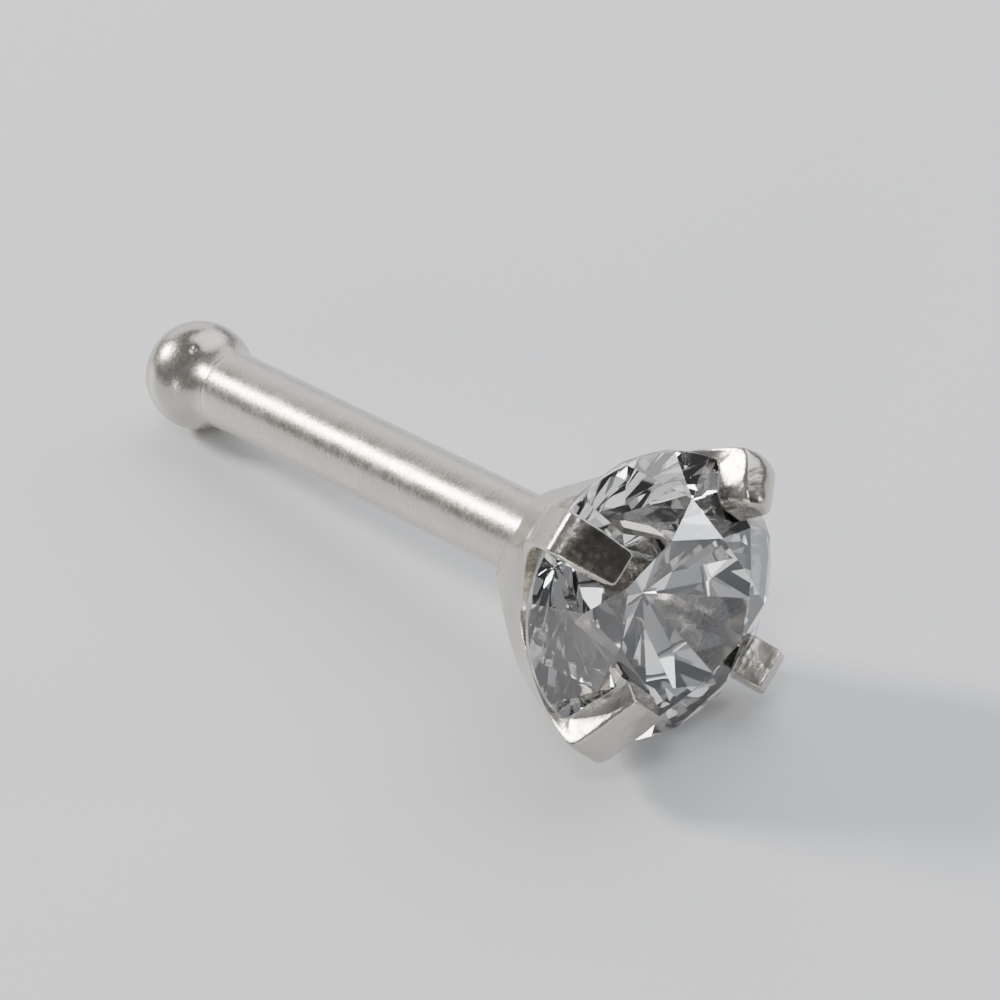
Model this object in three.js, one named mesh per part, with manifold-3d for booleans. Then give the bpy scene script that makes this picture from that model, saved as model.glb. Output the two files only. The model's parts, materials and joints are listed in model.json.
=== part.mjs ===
// Nose stud with a ball end: a straight round post, a ball a little thicker than the post on its
// free end, and on the other end a cup that opens into four flat prongs. The prongs are bent over
// one clear round brilliant. The stud lies as it comes to rest on a table, on the ball and on the
// edge of the stone, with one prong a hair above the table. Millimetres, +Z up, and the table top
// is Z = 0.
// In the stud's own frame its axis is X, and x = 0 is the middle of the stone's girdle.
import * as THREE from 'three';
import { ConvexGeometry } from 'three/addons/geometries/ConvexGeometry.js';
import { mergeVertices } from 'three/addons/utils/BufferGeometryUtils.js';
import Module from 'manifold-3d';

// Post and ball end
const POST_RADIUS = 0.4;
const BALL_RADIUS = 0.55;
const BALL_TO_GIRDLE = 7.5;
const NECK_FILLET = 0.6;
const ROUND_SIDES = 36;

// Stone: one round brilliant; the slopes of its main facets are rise over run
const STONE_RADIUS = 1.375;
const TABLE_RADIUS = 0.76;
const GIRDLE_HALF = 0.045;
const CROWN_SLOPE = 0.82;
const PAVILION_SLOPE = 0.87;
const STAR_SHARE = 0.5;
const LOWER_HALF_SHARE = 0.78;
const FACET_TURN = THREE.MathUtils.degToRad(-2);

// Cup and prongs
const SHEET = 0.19;
const PRONG_WIDTH = 0.42;
const PRONG_PROUD = 0.02;
const CUP_BACK = -1.8;
const CUP_RIM = -0.1;
const VALLEY_FLOOR = -0.9;
const VALLEY_RADIUS = 0.34;
const VALLEY_SLOPE = 0.9;
const SEAT_GAP = 0.03;
// The outer face of a prong from the back of the cup to the fold of its claw: place, reach
const PRONG_LINE = [
  [CUP_BACK, 0.46],
  [-1.5, 0.69],
  [-1.2, 0.92],
  [-0.9, 1.11],
  [-0.6, 1.25],
  [-0.3, 1.36],
  [CUP_RIM, 1.44],
  [0.1, 1.53],
  [0.32, 1.6],
  [0.44, 1.5],
  [0.54, 1.35],
];
const FOOT_POINT = 8;
const CLAW_THICKNESS = 0.26;
const CLAW_SLOPE = 0.6;
// How near to the stud's axis each claw reaches, turning from +Y over +Z
const CLAW_TIPS = [1.15, 1.0, 0.93, 1.19];

// Rest: the stud tips until the ball and the back edge of the girdle are level, and it rolls until
// the outer edge of the last prong is a hair above the table
const PRONG_CLEARANCE = 0.01;
const girdleReach = Math.hypot(BALL_TO_GIRDLE - GIRDLE_HALF, STONE_RADIUS);
const TILT =
  Math.atan2(STONE_RADIUS, BALL_TO_GIRDLE - GIRDLE_HALF) - Math.asin(BALL_RADIUS / girdleReach);
const AXIS_HEIGHT = BALL_RADIUS + BALL_TO_GIRDLE * Math.sin(TILT);
const [footPlace, footReach] = PRONG_LINE[FOOT_POINT];
const footHeight = AXIS_HEIGHT + footPlace * Math.sin(TILT) - PRONG_CLEARANCE;
const footRadius = Math.hypot(footReach, PRONG_WIDTH / 2);
const footAngle =
  Math.acos(footHeight / (footRadius * Math.cos(TILT))) + Math.atan2(PRONG_WIDTH / 2, footReach);
const PRONG_TURN = footAngle - Math.PI / 4;

const wasm = await Module();
wasm.setup();

// A closed mesh as a solid that can be joined and cut: corners merged, empty triangles dropped
function solid(geometry) {
  const bare = geometry.clone();
  bare.deleteAttribute('normal');
  bare.deleteAttribute('uv');
  const merged = mergeVertices(bare, 1e-5);
  const corners = merged.index.array;
  const kept = [];
  for (let i = 0; i < corners.length; i += 3) {
    const [a, b, c] = [corners[i], corners[i + 1], corners[i + 2]];
    if (a !== b && b !== c && c !== a) {
      kept.push(a, b, c);
    }
  }
  return new wasm.Manifold(
    new wasm.Mesh({
      numProp: 3,
      vertProperties: new Float32Array(merged.attributes.position.array),
      triVerts: new Uint32Array(kept),
    }),
  );
}

function geometryOf(manifold) {
  const mesh = manifold.getMesh();
  const geometry = new THREE.BufferGeometry();
  geometry.setAttribute('position', new THREE.BufferAttribute(mesh.vertProperties, 3));
  geometry.setIndex(new THREE.BufferAttribute(mesh.triVerts, 1));
  geometry.computeVertexNormals();
  return geometry;
}

// An outline drawn in X and Y, pushed out to the given width with its middle on Z = 0
function slab(points, width) {
  const shape = new THREE.Shape(points.map(([x, y]) => new THREE.Vector2(x, y)));
  const geometry = new THREE.ExtrudeGeometry(shape, { depth: width, bevelEnabled: false });
  geometry.translate(0, 0, -width / 2);
  return geometry;
}

// Post and ball in one turned profile; the ball runs into the post through a hollow fillet
function turnedPost() {
  const filletX = Math.sqrt((BALL_RADIUS + NECK_FILLET) ** 2 - (POST_RADIUS + NECK_FILLET) ** 2);
  const joinAngle = Math.atan2(filletX, POST_RADIUS + NECK_FILLET);
  const profile = [new THREE.Vector2(0, -BALL_RADIUS)];
  const ballSteps = 16;
  for (let i = 1; i <= ballSteps; i += 1) {
    const angle = (i / ballSteps) * (Math.PI / 2 + joinAngle) - Math.PI / 2;
    profile.push(new THREE.Vector2(BALL_RADIUS * Math.cos(angle), BALL_RADIUS * Math.sin(angle)));
  }
  const filletSteps = 5;
  for (let i = 1; i <= filletSteps; i += 1) {
    const angle = joinAngle * (1 - i / filletSteps);
    const radius = POST_RADIUS + NECK_FILLET * (1 - Math.cos(angle));
    profile.push(new THREE.Vector2(radius, filletX - NECK_FILLET * Math.sin(angle)));
  }
  const postEnd = BALL_TO_GIRDLE + CUP_BACK + SHEET / 2;
  profile.push(new THREE.Vector2(POST_RADIUS, postEnd));
  profile.push(new THREE.Vector2(0, postEnd));
  const geometry = new THREE.LatheGeometry(profile, ROUND_SIDES);
  geometry.rotateZ(-Math.PI / 2);
  geometry.translate(-BALL_TO_GIRDLE, 0, 0);
  return geometry;
}

// The inner side of a prong's outer face, one thickness in from it
function innerLine(line, thickness) {
  return line.map(([x, y], i) => {
    const before = line[Math.max(i - 1, 0)];
    const after = line[Math.min(i + 1, line.length - 1)];
    const run = Math.hypot(after[0] - before[0], after[1] - before[1]);
    return [
      x + (thickness * (after[1] - before[1])) / run,
      y - (thickness * (after[0] - before[0])) / run,
    ];
  });
}

// The stretch of the prong line up to the rim of the cup
function cupLine(inset) {
  return PRONG_LINE.filter(([x]) => x <= CUP_RIM).map(([x, radius]) => [x, radius - inset]);
}

// The cup filled solid: four flat sides and four narrower corner faces that run on into the
// prongs, which stand a little proud of it. It is where four slabs cross, two set to the sides
// and two to the corners.
function cupBody(inset) {
  const cornerLine = cupLine(inset + PRONG_PROUD);
  cornerLine[0][0] += inset;
  let body = null;
  for (let turn = 0; turn < 4; turn += 1) {
    const toSide = turn % 2 === 0;
    const half = cornerLine.map(([x, radius]) => [
      x,
      toSide ? (radius + PRONG_WIDTH / 2) / Math.SQRT2 : radius,
    ]);
    const outline = [...half, ...half.map(([x, y]) => [x, -y]).reverse()];
    const part = slab(outline, 2 * footReach);
    part.rotateX((turn * Math.PI) / 4 + PRONG_TURN);
    body = body === null ? solid(part) : body.intersect(solid(part));
  }
  return body;
}

// One prong: a flat strip of sheet bent along the prong line, thicker where its claw folds over
function prong(turn, tipReach) {
  const fold = PRONG_LINE[PRONG_LINE.length - 1];
  const tip = [fold[0] + (fold[1] - tipReach) * CLAW_SLOPE, tipReach];
  const outside = [...PRONG_LINE, tip];
  const inside = [
    ...innerLine(outside, SHEET).slice(0, FOOT_POINT),
    ...innerLine(outside, CLAW_THICKNESS).slice(FOOT_POINT),
  ];
  const root = POST_RADIUS / 2;
  const outline = [[CUP_BACK, root], ...outside, ...inside.reverse(), [CUP_BACK + SHEET, root]];
  const strip = slab(outline, PRONG_WIDTH);
  strip.rotateX(turn);
  return strip;
}

// What is cut away between two prongs: a V with a round bottom, open towards the stone
function valley(turn) {
  const half = Math.atan(VALLEY_SLOPE);
  const centre = VALLEY_FLOOR + VALLEY_RADIUS;
  const steps = 8;
  const outline = [];
  for (let i = 0; i <= steps; i += 1) {
    const angle = half * ((2 * i) / steps - 1);
    outline.push([centre - VALLEY_RADIUS * Math.cos(angle), VALLEY_RADIUS * Math.sin(angle)]);
  }
  const open = 1;
  const [endX, endY] = outline[steps];
  const mouth = endY + (open - endX) / VALLEY_SLOPE;
  const cutter = slab([[open, -mouth], ...outline, [open, mouth]], 2);
  cutter.translate(0, 0, 1 + SHEET);
  cutter.rotateX(turn);
  return cutter;
}

// The upper and lower halves each meet the round girdle in a low arch, whose foot is at the
// height given at the facet's two ends and whose top is where the flat facet meets the round
function archDip(inner, innerAngle, slopeSign, start, end) {
  const a = new THREE.Vector3(inner[1], inner[0] * Math.cos(innerAngle), inner[0] * Math.sin(innerAngle));
  const point = (angle, height) =>
    new THREE.Vector3(height, STONE_RADIUS * Math.cos(angle), STONE_RADIUS * Math.sin(angle));
  const edge = slopeSign * GIRDLE_HALF;
  const plane = new THREE.Plane().setFromCoplanarPoints(a, point(start, edge), point(end, edge));
  const middle = point((start + end) / 2, 0);
  middle.x = -(plane.constant + plane.normal.y * middle.y + plane.normal.z * middle.z) / plane.normal.x;
  return middle;
}

// A round brilliant about the X axis, table towards +X, grown by the given factor
function brilliant(grow) {
  const corners = [];
  const put = (radius, angle, x) => {
    corners.push(new THREE.Vector3(x, radius * Math.cos(angle), radius * Math.sin(angle)));
  };
  const eighth = Math.PI / 4;
  const spread = Math.cos(eighth / 2);
  const tableX = GIRDLE_HALF + (STONE_RADIUS - TABLE_RADIUS) * CROWN_SLOPE;
  const tableEdge = TABLE_RADIUS * spread;
  const starRadius = tableEdge + STAR_SHARE * (STONE_RADIUS - tableEdge);
  const starX = GIRDLE_HALF + (STONE_RADIUS - starRadius * spread) * CROWN_SLOPE;
  const lowerRadius = (1 - LOWER_HALF_SHARE) * STONE_RADIUS;
  const lowerX = -GIRDLE_HALF - (STONE_RADIUS - lowerRadius * spread) * PAVILION_SLOPE;
  for (let i = 0; i < 8; i += 1) {
    const main = FACET_TURN + i * eighth;
    const between = main + eighth / 2;
    const nextMain = main + eighth;
    put(TABLE_RADIUS, main, tableX);
    put(starRadius, between, starX);
    put(lowerRadius, between, lowerX);
    for (const angle of [main, between]) {
      put(STONE_RADIUS, angle, GIRDLE_HALF);
      put(STONE_RADIUS, angle, -GIRDLE_HALF);
    }
    for (const [start, end] of [[main, between], [between, nextMain]]) {
      corners.push(archDip([starRadius, starX], between, 1, start, end));
      corners.push(archDip([lowerRadius, lowerX], between, -1, start, end));
    }
  }
  put(0, 0, -GIRDLE_HALF - STONE_RADIUS * PAVILION_SLOPE);
  return new ConvexGeometry(corners.map((corner) => corner.multiplyScalar(grow)));
}

function metalGeometry() {
  let setting = cupBody(0).subtract(cupBody(SHEET));
  for (let side = 0; side < 4; side += 1) {
    setting = setting.subtract(solid(valley((side * Math.PI) / 2 + PRONG_TURN)));
  }
  CLAW_TIPS.forEach((tipReach, corner) => {
    setting = setting.add(solid(prong(((corner + 0.5) * Math.PI) / 2 + PRONG_TURN, tipReach)));
  });
  setting = setting.subtract(solid(brilliant(1 + SEAT_GAP / STONE_RADIUS)));
  return geometryOf(solid(turnedPost()).add(setting));
}

const metal = new THREE.Mesh(
  metalGeometry(),
  new THREE.MeshStandardMaterial({ color: 0xc9c6c2, roughness: 0.32, metalness: 1 }),
);
metal.name = 'stud_metal';

const stone = new THREE.Mesh(
  brilliant(1),
  new THREE.MeshStandardMaterial({ color: 0xf4f4f2, roughness: 0.03, metalness: 0 }),
);
stone.name = 'stone';

const stud = new THREE.Group();
stud.add(metal, stone);
stud.rotation.y = -TILT;
stud.position.z = AXIS_HEIGHT;

// The origin is under the middle of the whole stud, on the table top
const group = new THREE.Group();
group.add(stud);
group.updateMatrixWorld(true);
const middle = new THREE.Box3().setFromObject(group, true).getCenter(new THREE.Vector3());
stud.position.x = -middle.x;
stud.position.y = -middle.y;

export default group;
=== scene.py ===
import bmesh
import bpy
import json
import math
from mathutils import Matrix, Vector, noise


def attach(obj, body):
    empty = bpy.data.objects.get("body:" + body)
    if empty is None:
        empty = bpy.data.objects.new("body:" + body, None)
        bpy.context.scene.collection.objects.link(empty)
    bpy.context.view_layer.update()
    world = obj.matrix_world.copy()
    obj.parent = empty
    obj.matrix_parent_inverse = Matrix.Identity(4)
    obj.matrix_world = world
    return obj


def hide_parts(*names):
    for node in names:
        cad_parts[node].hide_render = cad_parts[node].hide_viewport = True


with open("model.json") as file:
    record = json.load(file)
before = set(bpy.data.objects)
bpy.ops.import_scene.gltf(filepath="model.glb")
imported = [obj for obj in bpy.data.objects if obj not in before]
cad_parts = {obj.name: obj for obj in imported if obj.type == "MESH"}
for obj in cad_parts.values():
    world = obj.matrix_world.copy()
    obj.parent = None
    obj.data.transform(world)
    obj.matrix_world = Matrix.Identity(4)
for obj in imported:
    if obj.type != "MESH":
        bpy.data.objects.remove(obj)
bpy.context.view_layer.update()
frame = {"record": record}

# ---- How the stud lies ----------------------------------------------------------------------
# The stud lies on its ball and on the edge of its stone, so its axis rises a little towards the
# stone. Each piece is drawn in millimetres along that axis, x = 0 in the middle of the girdle, and
# is then laid down as the stud lies.
MM = 0.001
TABLE_PLACE = 0.5493
mounts = {mount["name"]: mount for mount in frame["record"]["mounts"]}
stud_axis = Vector(mounts["stone_table"]["axis"]).normalized()
girdle_middle = Vector(mounts["stone_table"]["pos_m"]) - stud_axis * TABLE_PLACE * MM
sideways = Vector((0, 1, 0))
stud_up = stud_axis.cross(sideways)
AS_IT_LIES = Matrix((stud_axis, sideways, stud_up)).transposed().to_4x4()
AS_IT_LIES.translation = girdle_middle


def round_axis(x, reach, angle, across=0.0):
    """A point at a place along the axis, a reach from it in the direction of angle, and across."""
    y = reach * math.cos(angle) - across * math.sin(angle)
    z = reach * math.sin(angle) + across * math.cos(angle)
    return Vector((x, y, z))


def stud_millimetres(nodes, links):
    """A place on the stud for a material's patterns, in millimetres of the stud's own frame."""
    place = nodes.new("ShaderNodeTexCoord")
    upright_again = nodes.new("ShaderNodeMapping")
    back_to_stud = AS_IT_LIES.inverted()
    upright_again.inputs["Scale"].default_value = (1 / MM, 1 / MM, 1 / MM)
    upright_again.inputs["Rotation"].default_value = back_to_stud.to_euler()
    upright_again.inputs["Location"].default_value = back_to_stud.translation / MM
    links.new(place.outputs["Object"], upright_again.inputs["Vector"])
    return upright_again.outputs["Vector"]


def laid_down(shape, name, metal_or_stone, materials):
    """The finished piece: millimetres to metres, and into the attitude that the stud lies in."""
    mesh = bpy.data.meshes.new(name)
    bmesh.ops.recalc_face_normals(shape, faces=shape.faces)
    bmesh.ops.transform(shape, matrix=AS_IT_LIES @ Matrix.Scale(MM, 4), verts=shape.verts)
    shape.to_mesh(mesh)
    shape.free()
    for material in materials:
        mesh.materials.append(material)
    piece = bpy.data.objects.new(name, mesh)
    bpy.context.scene.collection.objects.link(piece)
    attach(piece, "root")
    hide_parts(metal_or_stone)
    return piece


# ---- The post and its ball end --------------------------------------------------------------
# One steel pin turned from wire. The ball on its free end is a little thicker than the post, so
# that the stud holds in the piercing, and it runs into the post through a hollow neck. The pin is
# tumbled to a satin finish, which leaves a fine grain and faint turning marks round it.
POST_RADIUS = 0.4
BALL_RADIUS = 0.55
BALL_PLACE = -7.5
NECK_FILLET = 0.6
POST_END = -1.4
POST_SIDES = 144
TUMBLED_OFF = 0.003
TIP_WORN = 0.002
DENT_WIDTH, DENT_DEPTH = 0.05, 0.02


def pin_outline():
    """(place, radius) from the tip of the ball to the end that is soldered into the cup."""
    neck = math.sqrt((BALL_RADIUS + NECK_FILLET) ** 2 - (POST_RADIUS + NECK_FILLET) ** 2)
    join = math.atan2(neck, POST_RADIUS + NECK_FILLET)
    outline = []
    ball_steps = 64
    for i in range(1, ball_steps + 1):
        angle = (math.pi / 2 + join) * i / ball_steps - math.pi / 2
        outline.append((BALL_PLACE + BALL_RADIUS * math.sin(angle), BALL_RADIUS * math.cos(angle)))
    neck_steps = 16
    for i in range(1, neck_steps + 1):
        angle = join * (1 - i / neck_steps)
        radius = POST_RADIUS + NECK_FILLET * (1 - math.cos(angle))
        outline.append((BALL_PLACE + neck - NECK_FILLET * math.sin(angle), radius))
    # A shallow ring is left by the tool where the neck ends and the straight post begins
    ring, ring_width, ring_depth = BALL_PLACE + neck + 0.05, 0.03, 0.003
    for step, depth in ((-1, 0.0), (-0.5, 0.6), (0, 1.0), (0.5, 0.6), (1, 0.0)):
        outline.append((ring + step * ring_width, POST_RADIUS - depth * ring_depth))
    straight_steps = 60
    start = ring + 2 * ring_width
    for i in range(straight_steps + 1):
        outline.append((start + (POST_END - start) * i / straight_steps, POST_RADIUS))
    return outline


def turned_pin():
    shape = bmesh.new()
    rings = []
    for place, radius in pin_outline():
        ring = []
        for side in range(POST_SIDES):
            angle = 2 * math.pi * side / POST_SIDES
            point = round_axis(place, radius, angle)
            # The tumbled surface is very slightly uneven
            uneven = 0.0022 * noise.noise(point * 2.3) + 0.0008 * noise.noise(point * 9.0)
            ring.append(shape.verts.new(round_axis(place, radius + uneven - TUMBLED_OFF, angle)))
        rings.append(ring)
    for near, far in zip(rings, rings[1:]):
        for side in range(POST_SIDES):
            following = (side + 1) % POST_SIDES
            shape.faces.new((near[side], near[following], far[following], far[side]))
    tip = shape.verts.new((BALL_PLACE - BALL_RADIUS + TIP_WORN, 0, 0))
    end = shape.verts.new((POST_END, 0, 0))
    for side in range(POST_SIDES):
        following = (side + 1) % POST_SIDES
        shape.faces.new((rings[0][following], rings[0][side], tip))
        shape.faces.new((rings[-1][side], rings[-1][following], end))
    return shape


def pressed_in(shape, middle):
    """A small round dent in the ball."""
    for vertex in shape.verts:
        away = (vertex.co - middle).length / DENT_WIDTH
        if away < 1:
            inward = Vector((BALL_PLACE, 0, 0)) - vertex.co
            vertex.co += inward.normalized() * DENT_DEPTH * (1 - away * away) ** 2


def satin_steel(name, roughness, grain, mark_depth):
    """Satin stainless steel: warm pale grey, with a fine grain and marks that run round it."""
    material = bpy.data.materials.new(name)
    material.use_nodes = True
    nodes, links = material.node_tree.nodes, material.node_tree.links
    steel = nodes["Principled BSDF"]
    steel.inputs["Metallic"].default_value = 1.0
    in_mm = stud_millimetres(nodes, links)
    usual_low, usual_high = 0.3, 0.7

    def speckle(scale, detail, stretch=(1, 1, 1)):
        stretched = nodes.new("ShaderNodeMapping")
        stretched.inputs["Scale"].default_value = stretch
        links.new(in_mm, stretched.inputs["Vector"])
        pattern = nodes.new("ShaderNodeTexNoise")
        pattern.inputs["Scale"].default_value = scale
        pattern.inputs["Detail"].default_value = detail
        links.new(stretched.outputs["Vector"], pattern.inputs["Vector"])
        return pattern.outputs["Fac"]

    def spread(value, low, high):
        ranged = nodes.new("ShaderNodeMapRange")
        ranged.inputs["From Min"].default_value = usual_low
        ranged.inputs["From Max"].default_value = usual_high
        ranged.inputs["To Min"].default_value = low
        ranged.inputs["To Max"].default_value = high
        links.new(value, ranged.inputs["Value"])
        return ranged.outputs["Result"]

    cloud = speckle(3.0, 4)
    fine = speckle(grain, 6)
    turning = speckle(9.0, 5, (3.5, 0.5, 0.5))
    tint = nodes.new("ShaderNodeValToRGB")
    tint.color_ramp.elements[0].position = usual_low
    tint.color_ramp.elements[0].color = (0.47, 0.435, 0.385, 1)
    tint.color_ramp.elements[1].position = usual_high
    tint.color_ramp.elements[1].color = (0.53, 0.505, 0.465, 1)
    links.new(cloud, tint.inputs["Fac"])
    links.new(tint.outputs["Color"], steel.inputs["Base Color"])
    mixed = nodes.new("ShaderNodeMath")
    mixed.operation = "ADD"
    links.new(spread(cloud, roughness - 0.04, roughness + 0.04), mixed.inputs[0])
    links.new(spread(fine, -0.04, 0.05), mixed.inputs[1])
    links.new(mixed.outputs["Value"], steel.inputs["Roughness"])
    marks = nodes.new("ShaderNodeBump")
    marks.inputs["Strength"].default_value = 0.5
    marks.inputs["Distance"].default_value = mark_depth * MM
    links.new(turning, marks.inputs["Height"])
    grains = nodes.new("ShaderNodeBump")
    grains.inputs["Strength"].default_value = 0.6
    grains.inputs["Distance"].default_value = mark_depth * MM
    links.new(fine, grains.inputs["Height"])
    links.new(marks.outputs["Normal"], grains.inputs["Normal"])
    links.new(grains.outputs["Normal"], steel.inputs["Normal"])
    return material


pin_shape = turned_pin()
dent = Vector((BALL_PLACE, 0, 0)) + BALL_RADIUS * Vector((0.50, -0.27, 0.82)).normalized()
pressed_in(pin_shape, dent)
for face in pin_shape.faces:
    face.smooth = True
pin_steel = satin_steel("satin_pin_steel", 0.26, 26.0, 0.003)
laid_down(pin_shape, "post_and_ball", "stud_metal", [pin_steel])

# ---- The stone ------------------------------------------------------------------------------
# One round brilliant of clear cubic zirconia, 2.75 mm across. A round blank is ground flat one
# facet at a time: the table, eight stars, eight mains and sixteen halves above the girdle, and
# sixteen halves and eight mains below it. All are polished, and the girdle is left as ground.
STONE_RADIUS = 1.375
TABLE_RADIUS = 0.76
GIRDLE_HALF = 0.045
CROWN_SLOPE = 0.82
PAVILION_SLOPE = 0.87
STAR_SHARE = 0.5
LOWER_HALF_SHARE = 0.78
FACET_TURN = math.radians(-2)
EIGHTH = math.pi / 4
BLANK_SIDES = 160
BLANK_ENDS = (-1.6, 0.8)


def facets():
    """(a point on the facet, its outward normal) for every facet of the stone."""
    found = []
    spread = math.cos(EIGHTH / 2)
    table_edge = TABLE_RADIUS * spread
    star_reach = table_edge + STAR_SHARE * (STONE_RADIUS - table_edge)
    star_place = GIRDLE_HALF + (STONE_RADIUS - star_reach * spread) * CROWN_SLOPE
    low_reach = (1 - LOWER_HALF_SHARE) * STONE_RADIUS
    low_place = -GIRDLE_HALF - (STONE_RADIUS - low_reach * spread) * PAVILION_SLOPE
    found.append((Vector((TABLE_PLACE, 0, 0)), Vector((1, 0, 0))))
    for i in range(8):
        main = FACET_TURN + i * EIGHTH
        between = main + EIGHTH / 2
        for slope, side in ((CROWN_SLOPE, 1), (PAVILION_SLOPE, -1)):
            normal = round_axis(side, slope, main)
            found.append((round_axis(side * GIRDLE_HALF, STONE_RADIUS, main), normal))
        star_slope = (TABLE_PLACE - star_place) / (star_reach - table_edge)
        found.append((round_axis(TABLE_PLACE, table_edge, between), round_axis(1, star_slope, between)))
        for start in (main, between):
            low = round_axis(low_place, low_reach, between)
            high = round_axis(star_place, star_reach, between)
            for side, corner in ((1, high), (-1, low)):
                a = round_axis(side * GIRDLE_HALF, STONE_RADIUS, start)
                b = round_axis(side * GIRDLE_HALF, STONE_RADIUS, start + EIGHTH / 2)
                normal = (b - a).cross(corner - a)
                found.append((corner, normal if normal.x * side > 0 else -normal))
    return found


def ground_stone():
    shape = bmesh.new()
    ends = []
    for place in BLANK_ENDS:
        ring = [round_axis(place, STONE_RADIUS, 2 * math.pi * i / BLANK_SIDES + FACET_TURN)
                for i in range(BLANK_SIDES)]
        ends.append([shape.verts.new(point) for point in ring])
    back, front = ends
    shape.faces.new(back)
    shape.faces.new(front)
    for i in range(BLANK_SIDES):
        following = (i + 1) % BLANK_SIDES
        shape.faces.new((back[i], back[following], front[following], front[i]))
    for point, normal in facets():
        every = [*shape.verts, *shape.edges, *shape.faces]
        cut = bmesh.ops.bisect_plane(
            shape, geom=every, plane_co=point, plane_no=normal, clear_outer=True, dist=1e-6)
        rim = [e for e in cut["geom_cut"] if isinstance(e, bmesh.types.BMEdge)]
        bmesh.ops.holes_fill(shape, edges=rim, sides=0)
    bmesh.ops.recalc_face_normals(shape, faces=shape.faces)
    return shape


def clear_stone(name, roughness, haze):
    """Cubic zirconia: colourless, with the faint polishing lines that even a bright polish has."""
    material = bpy.data.materials.new(name)
    material.use_nodes = True
    nodes, links = material.node_tree.nodes, material.node_tree.links
    stone = nodes["Principled BSDF"]
    stone.inputs["Base Color"].default_value = (0.985, 0.985, 0.98, 1)
    stone.inputs["IOR"].default_value = 2.16
    stone.inputs["Transmission Weight"].default_value = 1.0
    lines = nodes.new("ShaderNodeMapping")
    lines.inputs["Scale"].default_value = (6, 40, 6)
    links.new(stud_millimetres(nodes, links), lines.inputs["Vector"])
    pattern = nodes.new("ShaderNodeTexNoise")
    pattern.inputs["Scale"].default_value = 1.0
    pattern.inputs["Detail"].default_value = 3
    links.new(lines.outputs["Vector"], pattern.inputs["Vector"])
    ranged = nodes.new("ShaderNodeMapRange")
    ranged.inputs["To Min"].default_value = roughness
    ranged.inputs["To Max"].default_value = roughness + haze
    links.new(pattern.outputs["Fac"], ranged.inputs["Value"])
    links.new(ranged.outputs["Result"], stone.inputs["Roughness"])
    return material


stone_shape = ground_stone()
for face in stone_shape.faces:
    on_girdle = abs(face.normal.x) < 0.05
    face.smooth = on_girdle
    face.material_index = 1 if on_girdle else 0
laid_down(stone_shape, "round_brilliant", "stone",
          [clear_stone("polished_zirconia", 0.0, 0.006), clear_stone("ground_girdle", 0.25, 0.1)])

# ---- The four-prong cup ---------------------------------------------------------------------
# A cup pressed from steel sheet, with four flat strips that stand on as prongs. A rounded V is cut
# between each two of them. The tip of each prong is bent over the stone's crown as a claw and
# filed by hand, so no two claws are quite alike. The cup is soldered to the end of the post.
PRONG_WIDTH = 0.42
INNER_WIDTH = 0.27
VALLEY_FLOOR = -0.9
VALLEY_RADIUS = 0.34
VALLEY_SLOPE = 0.9
PRONG_TURN = math.radians(-8.07)
SEAT_GAP = 0.012
# The outer face of a prong as (place, reach), from inside the post to the fold of its claw, and
# the inner face that lies under each of those points
PRONG_OUTSIDE = [(-1.80, 0.28), (-1.80, 0.37), (-1.79, 0.46), (-1.65, 0.575), (-1.50, 0.69),
                 (-1.20, 0.92), (-0.90, 1.11), (-0.60, 1.25), (-0.30, 1.365), (0.00, 1.48),
                 (0.25, 1.585), (0.35, 1.58), (0.44, 1.50), (0.54, 1.35)]
PRONG_INSIDE = [(-1.61, 0.24), (-1.61, 0.30), (-1.61, 0.36), (-1.53, 0.43), (-1.38, 0.54),
                (-1.09, 0.76), (-0.80, 0.94), (-0.52, 1.07), (-0.24, 1.185), (0.00, 1.30),
                (0.10, 1.35), (0.15, 1.30), (0.20, 1.24), (0.28, 1.12)]
FOLD_STEP = len(PRONG_OUTSIDE) - 1
FOLD_PLACE, FOLD_REACH = PRONG_OUTSIDE[FOLD_STEP]
CUP_ROWS = (0.0, 0.07, 0.16, 0.26, 0.36, 0.46, 0.56, 0.66, 0.76, 0.86, 0.94, 0.98, 1.0)
CLAW_SLOPE = 0.6
CLAW_THICKNESS = 0.29
# Each claw: how near its tip comes to the axis, how far its back is crowned, how much its end
# narrows, how far the corners of its end are rounded, the share of its reach that its prong is
# drawn in by at the back of the cup, and how far it is drawn in at the claw
CLAWS = (
    (1.13, 0.085, 0.12, 0.13, 0.17, 0.02),
    (1.05, 0.006, 0.14, 0.06, 0.42, 0.00),
    (0.93, 0.012, 0.02, 0.05, 0.00, 0.03),
    (1.12, 0.004, 0.02, 0.03, 0.00, 0.08),
)
# The drawing in at the back fades out towards the front, and the one at the claw towards the back
BACK_FADE_END, BACK_FADE_LENGTH, BACK_HOLD = -0.25, 0.95, 0.12
CLAW_FADE_START, CLAW_FADE_LENGTH = -0.5, 0.7
ACROSS = (-1.0, -0.82, -0.35, 0.0, 0.35, 0.82, 1.0)
SIDE_COLUMNS = 14


def curve_at(points, step):
    """The smooth curve through the points, at a step from the first of them."""
    last = len(points) - 1
    i = min(int(step), last - 1)
    t = step - i
    a, b, c, d = (Vector(points[max(0, min(last, i + k))]) for k in (-1, 0, 1, 2))
    return 0.5 * (2 * b + (c - a) * t + (2 * a - 5 * b + 4 * c - d) * t * t
                  + (3 * b - a - 3 * c + d) * t ** 3)


def valley_edge(offset):
    """The place of the edge that is cut between two prongs, at an offset from its middle."""
    half = math.atan(VALLEY_SLOPE)
    centre = VALLEY_FLOOR + VALLEY_RADIUS
    corner = VALLEY_RADIUS * math.sin(half)
    if abs(offset) <= corner:
        return centre - math.sqrt(VALLEY_RADIUS ** 2 - offset ** 2)
    return centre - VALLEY_RADIUS * math.cos(half) + (abs(offset) - corner) / VALLEY_SLOPE


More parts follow.
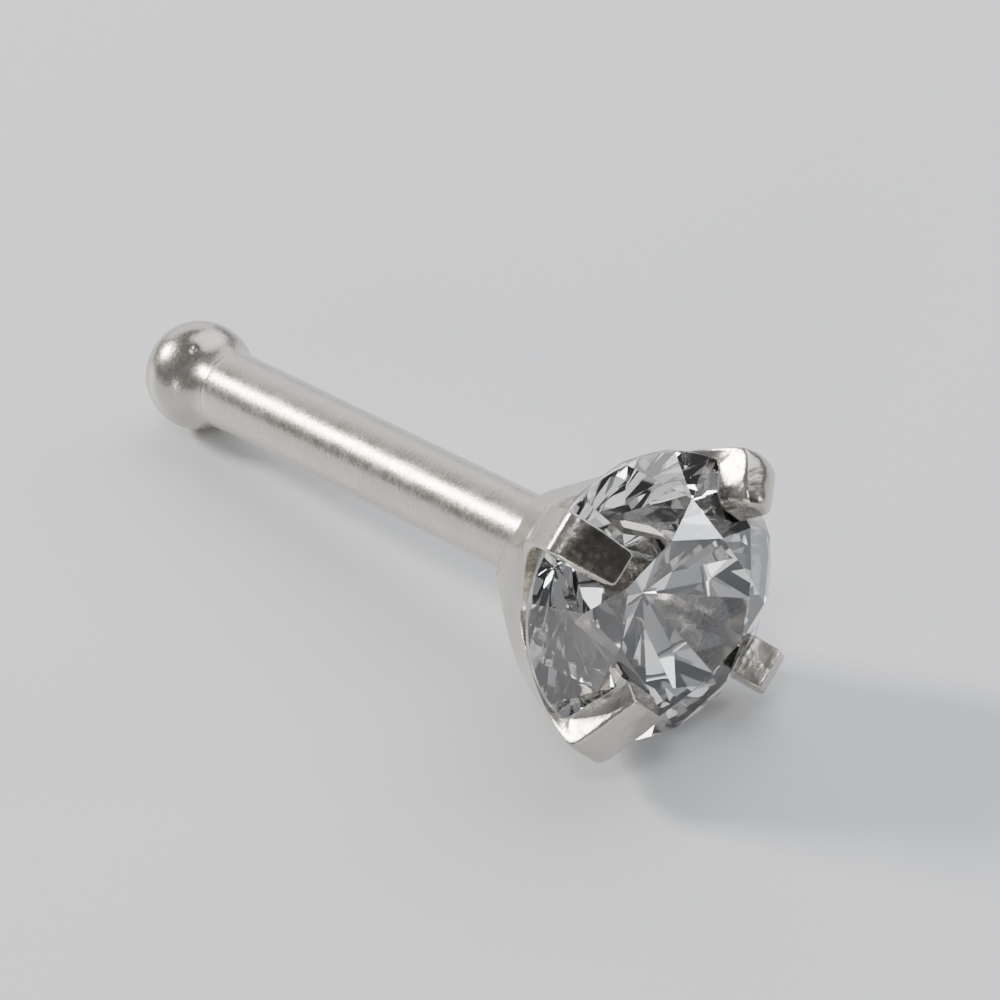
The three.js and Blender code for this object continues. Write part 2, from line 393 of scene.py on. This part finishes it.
def side_top(share):
    """How far up the prong line the side of the cup goes, at a share of its half-width."""
    low, high = 0.0, FOLD_STEP - 2.0
    for _ in range(40):
        middle = (low + high) / 2
        place, reach = curve_at(PRONG_OUTSIDE, middle)
        offset = share * (reach - PRONG_WIDTH / 2) / math.sqrt(2)
        low, high = (middle, high) if place < valley_edge(offset) else (low, middle)
    return low


RIM_STEP = side_top(1.0)


def eased(share):
    """From 0 to 1 with a soft start and a soft end."""
    share = max(0.0, min(1.0, share))
    return share * share * (3 - 2 * share)


def drawn_in(point, at_back, at_claw):
    """A point of the prong line, moved towards the axis as its own prong is."""
    back = eased((BACK_FADE_END - point.x) / BACK_FADE_LENGTH)
    claw = eased((point.x - CLAW_FADE_START) / CLAW_FADE_LENGTH)
    return Vector((point.x, point.y - (point.y - BACK_HOLD) * at_back * back - at_claw * claw))


def claw_rows(tip_reach, crown, narrowing, corner):
    """(step, half-width, inner half-width, crown) of each row from the rim to the tip."""
    half = PRONG_WIDTH / 2
    rows = []
    free_steps = 8
    for i in range(1, free_steps + 1):
        share = i / free_steps
        inner = INNER_WIDTH / 2 + (half - INNER_WIDTH / 2) * min(1.0, 3 * share)
        rows.append((RIM_STEP + (FOLD_STEP - RIM_STEP) * share, half, inner, crown * share))
    length = math.hypot(CLAW_SLOPE, 1) * (FOLD_REACH - tip_reach)
    for share in (0.25, 0.5, 0.75, 1.0):
        step = FOLD_STEP + share * (1 - corner / length)
        width = half * (1 - narrowing * share)
        rows.append((step, width, width, crown))
    for away, cut_in in ((0.45, 0.16), (0.0, 0.62)):
        width = half * (1 - narrowing) - corner * cut_in
        rows.append((FOLD_STEP + 1 - away * corner / length, width, width, crown * (0.4 + away)))
    return rows


def sheet_edge(shape, ladders, outer, inner):
    """The cut edge of the sheet, from a line on its outer face to the line under it."""
    for out, under in zip(outer, inner):
        if out not in ladders:
            rungs = [shape.verts.new(out.co.lerp(under.co, share)) for share in (0.2, 0.8)]
            ladders[out] = [out, *rungs, under]
    for near, far in zip(outer, outer[1:]):
        for i in range(3):
            shape.faces.new((ladders[near][i], ladders[near][i + 1],
                             ladders[far][i + 1], ladders[far][i]))


def cup_and_claws():
    shape = bmesh.new()
    strips, ladders = [], {}
    for number, (tip_reach, crown, narrowing, corner, at_back, at_claw) in enumerate(CLAWS):
        angle = (number + 0.5) * math.pi / 2 + PRONG_TURN
        tip = Vector((FOLD_PLACE + (FOLD_REACH - tip_reach) * CLAW_SLOPE, tip_reach))
        inward = Vector((-1, -CLAW_SLOPE)).normalized() * CLAW_THICKNESS
        outside = [drawn_in(Vector(point), at_back, at_claw) for point in PRONG_OUTSIDE]
        inside = [drawn_in(Vector(point), at_back, at_claw) for point in PRONG_INSIDE]
        outside.append(tip)
        inside.append(tip + inward)
        rows = [(RIM_STEP * share, PRONG_WIDTH / 2, INNER_WIDTH / 2, 0.0) for share in CUP_ROWS]
        rows += claw_rows(tip_reach, crown, narrowing, corner)
        outer, inner = [], []
        for step, half, inner_half, rise in rows:
            place, reach = curve_at(outside, step)
            ahead = curve_at(outside, min(step + 0.05, FOLD_STEP + 1))
            behind = curve_at(outside, max(step - 0.05, 0))
            out = Vector((behind.y - ahead.y, ahead.x - behind.x)).normalized()
            line = []
            for share in ACROSS:
                lift = rise * (1 - share * share)
                line.append(shape.verts.new(round_axis(
                    place + out.x * lift, reach + out.y * lift, angle, share * half)))
            outer.append(line)
            place, reach = curve_at(inside, step)
            inner.append([shape.verts.new(round_axis(place, reach, angle, share * inner_half))
                          for share in ACROSS])
        for i in range(len(rows) - 1):
            for j in range(len(ACROSS) - 1):
                shape.faces.new((outer[i][j], outer[i + 1][j],
                                 outer[i + 1][j + 1], outer[i][j + 1]))
                shape.faces.new((inner[i][j], inner[i][j + 1],
                                 inner[i + 1][j + 1], inner[i + 1][j]))
        rim = len(CUP_ROWS) - 1
        for j in (0, -1):
            free_edge = [[row[j] for row in face[rim:]] for face in (outer, inner)]
            sheet_edge(shape, ladders, *free_edge)
        for end in (0, -1):
            sheet_edge(shape, ladders, outer[end], inner[end])
        strips.append({"angle": angle, "lines": (outside, inside), "rows": (outer, inner)})
    for number, strip in enumerate(strips):
        cup_side(shape, ladders, strip, strips[(number + 1) % len(strips)])
    return shape


def cup_side(shape, ladders, before, after):
    """The side of the cup between two prongs, with the valley cut into it."""
    layers = []
    for layer, width in ((0, PRONG_WIDTH), (1, INNER_WIDTH)):
        columns = [[row[-1] for row in before["rows"][layer][:len(CUP_ROWS)]]]
        for column in range(1, SIDE_COLUMNS):
            share = column / SIDE_COLUMNS
            top = side_top(2 * share - 1)
            points = []
            for up in CUP_ROWS:
                near = curve_at(before["lines"][layer], top * up)
                far = curve_at(after["lines"][layer], top * up)
                near = round_axis(*near, before["angle"], width / 2)
                far = round_axis(*far, after["angle"], -width / 2)
                points.append(shape.verts.new(near.lerp(far, share)))
            columns.append(points)
        columns.append([row[0] for row in after["rows"][layer][:len(CUP_ROWS)]])
        layers.append(columns)
        for left, right in zip(columns, columns[1:]):
            for i in range(len(CUP_ROWS) - 1):
                shape.faces.new((left[i], left[i + 1], right[i + 1], right[i]))
    outer, inner = layers
    for end in (0, -1):
        sheet_edge(shape, ladders, [line[end] for line in outer], [line[end] for line in inner])


def tumbled(shape):
    """Tumbling rounds every edge a little."""
    mesh = bpy.data.meshes.new("bench")
    shape.to_mesh(mesh)
    shape.free()
    bench = bpy.data.objects.new("bench", mesh)
    bpy.context.scene.collection.objects.link(bench)
    rounded = bench.modifiers.new("rounded", "SUBSURF")
    rounded.levels = 2
    seen = bench.evaluated_get(bpy.context.evaluated_depsgraph_get())
    shape = bmesh.new()
    shape.from_mesh(seen.to_mesh())
    bpy.data.objects.remove(bench)
    return shape


def seated(shape):
    """The seat is cut into the prongs to the stone's own form: nothing is left inside the stone."""
    faces = [(point, normal.normalized()) for point, normal in facets()]
    for vertex in shape.verts:
        depths = [((vertex.co - point).dot(normal), normal) for point, normal in faces]
        radial = Vector((0, vertex.co.y, vertex.co.z))
        depths.append((radial.length - STONE_RADIUS, radial.normalized()))
        depth, normal = max(depths, key=lambda found: found[0])
        if depth < SEAT_GAP:
            vertex.co += normal * (SEAT_GAP - depth)


cup_shape = cup_and_claws()
bmesh.ops.recalc_face_normals(cup_shape, faces=cup_shape.faces)
cup_shape = tumbled(cup_shape)

# Filing leaves the metal softly uneven, most of all on the claws
cup_shape.normal_update()
moves = []
for vertex in cup_shape.verts:
    on_claw = max(0.0, min(1.0, (vertex.co.x - 0.2) / 0.2))
    height = (0.002 + 0.006 * on_claw) * noise.noise(vertex.co * 4.5)
    height += (0.0008 + 0.0022 * on_claw) * noise.noise(vertex.co * 13.0)
    moves.append(vertex.normal * height)
for vertex, move in zip(cup_shape.verts, moves):
    vertex.co += move
seated(cup_shape)
for face in cup_shape.faces:
    face.smooth = True
cup_steel = satin_steel("filed_cup_steel", 0.24, 16.0, 0.006)
cup = laid_down(cup_shape, "cup_and_claws", "stud_metal", [cup_steel])
cup.data.set_sharp_from_angle(angle=math.radians(35))

# ---- The table, the light and the camera ----------------------------------------------------
# A plain pale table top with a soft sheen, under a soft lamp behind the ball end and a wide one
# overhead. Small dim lamps round the front give the facets their sparkle, and a dark card behind
# the camera gives them contrast.
floor_shape = bmesh.new()
bmesh.ops.create_grid(floor_shape, x_segments=1, y_segments=1, size=3)
floor_mesh = bpy.data.meshes.new("table_top")
floor_shape.to_mesh(floor_mesh)
floor_shape.free()
floor = bpy.data.objects.new("table_top", floor_mesh)
bpy.context.scene.collection.objects.link(floor)
pale = bpy.data.materials.new("pale_table")
pale.use_nodes = True
pale_top = pale.node_tree.nodes["Principled BSDF"]
pale_top.inputs["Base Color"].default_value = (0.78, 0.79, 0.81, 1)
pale_top.inputs["Roughness"].default_value = 0.45
floor_mesh.materials.append(pale)

world = bpy.data.worlds.new("studio")
world.use_nodes = True
surroundings = world.node_tree.nodes["Background"]
surroundings.inputs["Color"].default_value = (0.80, 0.82, 0.86, 1)
surroundings.inputs["Strength"].default_value = 0.30
bpy.context.scene.world = world

STUD_MIDDLE = Vector((0.5, 0.5, 0.8)) * MM


def aimed(thing, towards, distance):
    """Puts a lamp or card at a distance in a direction from the stud, facing the stud."""
    away = Vector(towards).normalized()
    thing.location = STUD_MIDDLE + away * distance
    thing.rotation_euler = away.to_track_quat("Z", "Y").to_euler()


def soft_lamp(name, towards, distance, size, power, colour):
    lamp = bpy.data.lights.new(name, "AREA")
    lamp.shape = "RECTANGLE"
    lamp.size, lamp.size_y = size
    lamp.energy = power
    lamp.color = colour
    thing = bpy.data.objects.new(name, lamp)
    bpy.context.scene.collection.objects.link(thing)
    aimed(thing, towards, distance)


def card(name, towards, distance, size, shade):
    shape = bmesh.new()
    bmesh.ops.create_grid(shape, x_segments=1, y_segments=1, size=0.5)
    bmesh.ops.scale(shape, vec=(size[0], size[1], 1), verts=shape.verts)
    mesh = bpy.data.meshes.new(name)
    shape.to_mesh(mesh)
    shape.free()
    paper = bpy.data.materials.new(name)
    paper.use_nodes = True
    matt = paper.node_tree.nodes["Principled BSDF"]
    matt.inputs["Base Color"].default_value = (*shade, 1)
    matt.inputs["Roughness"].default_value = 0.9
    mesh.materials.append(paper)
    thing = bpy.data.objects.new(name, mesh)
    bpy.context.scene.collection.objects.link(thing)
    aimed(thing, towards, distance)


soft_lamp("window", (-0.78, -0.34, 0.52), 0.20, (0.045, 0.045), 0.42, (1.0, 0.98, 0.95))
soft_lamp("overhead", (-0.1, 0.75, 0.9), 0.25, (0.26, 0.26), 0.50, (0.93, 0.96, 1.0))
soft_lamp("back_wall", (-0.85, 0.42, 0.32), 0.20, (0.16, 0.10), 0.07, (1.0, 1.0, 1.0))
soft_lamp("low_front", (0.66, -0.72, 0.22), 0.20, (0.055, 0.04), 0.08, (1.0, 0.95, 0.86))
soft_lamp("low_left", (0.10, -0.98, 0.15), 0.20, (0.03, 0.03), 0.03, (1.0, 0.98, 0.95))
soft_lamp("low_right", (0.80, 0.75, 0.35), 0.20, (0.04, 0.04), 0.05, (0.84, 0.92, 1.0))
soft_lamp("high_front", (0.45, -0.35, 0.95), 0.20, (0.04, 0.04), 0.07, (1.0, 1.0, 1.0))
card("dark_card", (0.90, -0.20, 0.50), 0.16, (0.15, 0.11), (0.015, 0.015, 0.017))

camera_data = bpy.data.cameras.new("camera")
camera_data.lens = 234.5
camera_data.clip_start = 0.001
camera = bpy.data.objects.new("camera", camera_data)
bpy.context.scene.collection.objects.link(camera)
TARGET = Vector((0.4927, 0.5036, 0.77)) * MM
RISE, SWING, LEAN = math.radians(33.524), math.radians(-31.884), math.radians(-9.568)
DISTANCE = 62 * MM
back = Vector((math.cos(RISE) * math.cos(SWING), math.cos(RISE) * math.sin(SWING), math.sin(RISE)))
level = Vector((-math.sin(SWING), math.cos(SWING), 0))
upright = back.cross(level)
right = math.cos(LEAN) * level + math.sin(LEAN) * upright
upward = math.cos(LEAN) * upright - math.sin(LEAN) * level
camera.matrix_world = Matrix((right, upward, back)).transposed().to_4x4()
camera.matrix_world.translation = TARGET + back * DISTANCE
bpy.context.scene.camera = camera
